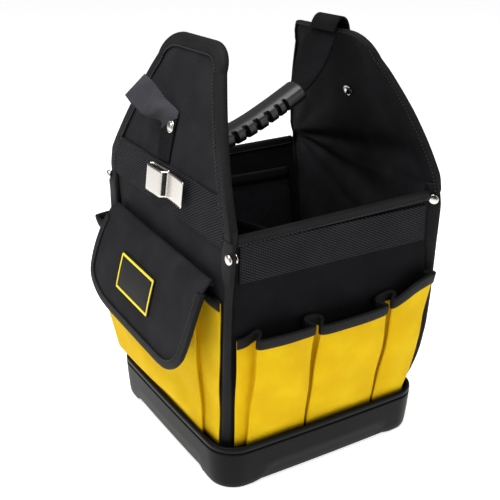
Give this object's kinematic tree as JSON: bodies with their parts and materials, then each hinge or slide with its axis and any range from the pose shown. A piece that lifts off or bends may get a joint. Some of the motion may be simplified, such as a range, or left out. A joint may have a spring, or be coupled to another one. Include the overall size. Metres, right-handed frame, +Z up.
{
  "type": "open-top tool bag",
  "caption": "Open-top cloth tool bag on a moulded tray, with two tall end panels, outside pockets, a flap pocket, inner dividers, a tape clip and a carrying handle.",
  "frame": {"origin": "middle of the tray's underside, on the surface the bag stands on", "axes": "+Z up, X along the carrying handle with the flap pocket at -X, -Y towards the front wall"},
  "size_m": [0.3, 0.2752, 0.4317],
  "materials": {
    "tray_plastic": "moulded, semi-matte",
    "black_cloth": "woven, matte",
    "binding_tape": "ribbed tape, matte",
    "nickel": "bright nickel plate",
    "mesh_cloth": "coarse weave, matte",
    "yellow_cloth": "woven, matte",
    "patch_rubber": "moulded, satin",
    "webbing": "woven tape, matte",
    "grip_rubber": "moulded, satin",
    "lining_cloth": "woven, matte"
  },
  "bodies": {
    "root": {"base_tray": "tray_plastic", "front_wall": "black_cloth", "rear_wall": "black_cloth", "end_panel_left": "black_cloth", "end_panel_right": "black_cloth", "left_flap": "black_cloth", "panel_binding_left": "binding_tape", "panel_binding_right": "binding_tape", "front_top_binding": "binding_tape", "rear_top_binding": "binding_tape", "corner_strip_front_left": "binding_tape", "corner_strip_front_right": "binding_tape", "corner_strip_rear_left": "binding_tape", "corner_strip_rear_right": "binding_tape", "front_pocket_binding": "binding_tape", "rear_pocket_binding": "binding_tape", "left_pocket_binding": "binding_tape", "right_pocket_binding": "binding_tape", "left_flap_binding": "binding_tape", "inner_pocket_rear_binding": "binding_tape", "corner_rivet_front_left": "nickel", "corner_rivet_front_right": "nickel", "corner_rivet_rear_left": "nickel", "corner_rivet_rear_right": "nickel", "tape_clip": "nickel", "snap_left": "nickel", "snap_right": "nickel", "front_mesh_band": "mesh_cloth", "rear_mesh_band": "mesh_cloth", "end_band_left": "mesh_cloth", "inner_pocket_rear": "mesh_cloth", "front_pocket": "yellow_cloth", "rear_pocket": "yellow_cloth", "left_pocket": "yellow_cloth", "right_pocket": "yellow_cloth", "flap_patch": "patch_rubber", "snap_strap": "webbing", "handle_webbing_right": "webbing", "handle_webbing_left": "webbing", "handle_anchor_right": "webbing", "handle_grip": "grip_rubber", "divider_long": "lining_cloth", "divider_cross": "lining_cloth"}
  },
  "joints": []
}
